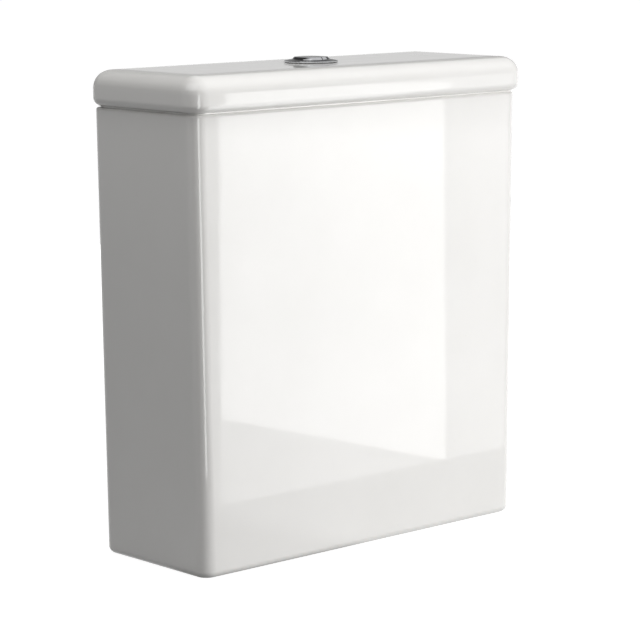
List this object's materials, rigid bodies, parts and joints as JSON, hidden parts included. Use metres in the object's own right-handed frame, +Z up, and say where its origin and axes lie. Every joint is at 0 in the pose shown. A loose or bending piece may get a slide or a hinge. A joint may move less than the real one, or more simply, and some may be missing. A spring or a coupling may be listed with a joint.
{
  "type": "toilet cistern",
  "caption": "Close-coupled toilet cistern of white glazed china with an overhanging rounded lid, a chrome dual push button, drop flush valve, float valve and coupling bolts.",
  "frame": {"origin": "centre of the flush outlet, on the plane of the tank's base", "axes": "+X to the right as seen from the front, +Y to the wall behind, +Z up"},
  "size_m": [0.387, 0.143, 0.472],
  "materials": {
    "china": "white glaze, glossy",
    "chrome": "mirror chrome on plastic",
    "rubber": "matte",
    "white_plastic": "moulded, satin",
    "grey_plastic": "moulded, satin",
    "blue_plastic": "moulded, satin",
    "red_plastic": "moulded, satin",
    "steel": "drawn wire and pins",
    "brass": "machined"
  },
  "bodies": {
    "tank": {"tank": "china", "lid_pads": "rubber", "valve_base": "grey_plastic", "valve_washer": "rubber", "valve_back_nut": "white_plastic", "coupling_ring": "rubber", "valve_tower": "white_plastic", "rocker_frame": "grey_plastic", "rocker_pins": "steel", "inlet_riser": "white_plastic", "inlet_washer": "rubber", "inlet_nut": "white_plastic", "inlet_strainer": "blue_plastic", "discharge_jacket": "grey_plastic", "valve_head": "white_plastic", "head_cap": "blue_plastic", "diaphragm": "rubber", "arm_pin": "steel", "coupling_bolts": "brass", "upper_washers": "rubber", "head_washers": "brass", "lower_washers": "rubber", "nut_washers": "brass", "lock_nuts": "brass", "wing_washers": "rubber", "wing_plates": "brass", "wing_nuts": "brass"},
    "lid": {"lid": "china", "button_bezel": "chrome", "bezel_gasket": "rubber", "clamp_nut": "white_plastic", "full_spring": "steel", "half_spring": "steel"},
    "full_button": {"full_button": "chrome", "full_rod": "blue_plastic"},
    "half_button": {"half_button": "chrome", "half_rod": "red_plastic"},
    "full_rocker": {"full_rocker": "blue_plastic"},
    "half_rocker": {"half_rocker": "red_plastic"},
    "half_carriage": {"half_carriage": "red_plastic", "half_float": "white_plastic"},
    "flush_tube": {"overflow_tube": "white_plastic", "outlet_seal": "rubber", "seal_retainer": "grey_plastic", "main_float": "white_plastic", "lift_yoke": "blue_plastic"},
    "float": {"float_cup": "white_plastic", "link_rod": "white_plastic", "thumb_nuts": "blue_plastic"},
    "float_arm": {"float_arm": "grey_plastic", "pilot_pad": "rubber"}
  },
  "joints": [
    {"name": "lid_lift", "type": "slide", "parent": "tank", "child": "lid", "axis": [0, 0, 1], "range_m": [0, 0.15]},
    {"name": "full_press", "type": "slide", "parent": "lid", "child": "full_button", "axis": [0, 0, -1], "range_m": [0, 0.006], "stiffness_N_per_m": 200, "springref_m": -0.01, "deforming": ["full_spring"]},
    {"name": "half_press", "type": "slide", "parent": "lid", "child": "half_button", "axis": [0, 0, -1], "range_m": [0, 0.006], "stiffness_N_per_m": 200, "springref_m": -0.01, "deforming": ["half_spring"]},
    {"name": "full_rock", "type": "hinge", "parent": "tank", "child": "full_rocker", "pos_m": [0.021, 0, 0.25828], "axis": [0, -1, 0], "range_deg": [0, 27.51]},
    {"name": "half_rock", "type": "hinge", "parent": "tank", "child": "half_rocker", "pos_m": [-0.021, 0, 0.25828], "axis": [0, 1, 0], "range_deg": [0, 27.51]},
    {"name": "half_lift", "type": "slide", "parent": "tank", "child": "half_carriage", "axis": [0, 0, 1], "range_m": [0, 0.00666]},
    {"name": "full_lift", "type": "slide", "parent": "half_carriage", "child": "flush_tube", "axis": [0, 0, 1], "range_m": [0, 0.00666]},
    {"name": "float_rise", "type": "slide", "parent": "tank", "child": "float", "axis": [0, 0, 1], "range_m": [0, 0.0182]},
    {"name": "arm_turn", "type": "hinge", "parent": "tank", "child": "float_arm", "pos_m": [0.107, 0, 0.262], "axis": [0, 1, 0], "range_deg": [0, 30]}
  ],
  "couplings": [
    {"joint": "full_rock", "follows": "full_press", "rad_per_m": 80},
    {"joint": "full_lift", "follows": "full_press", "ratio": 1.1093},
    {"joint": "half_rock", "follows": "half_press", "rad_per_m": 80},
    {"joint": "half_lift", "follows": "half_press", "ratio": 1.1093},
    {"joint": "arm_turn", "follows": "float_rise", "rad_per_m": 28.737}
  ]
}
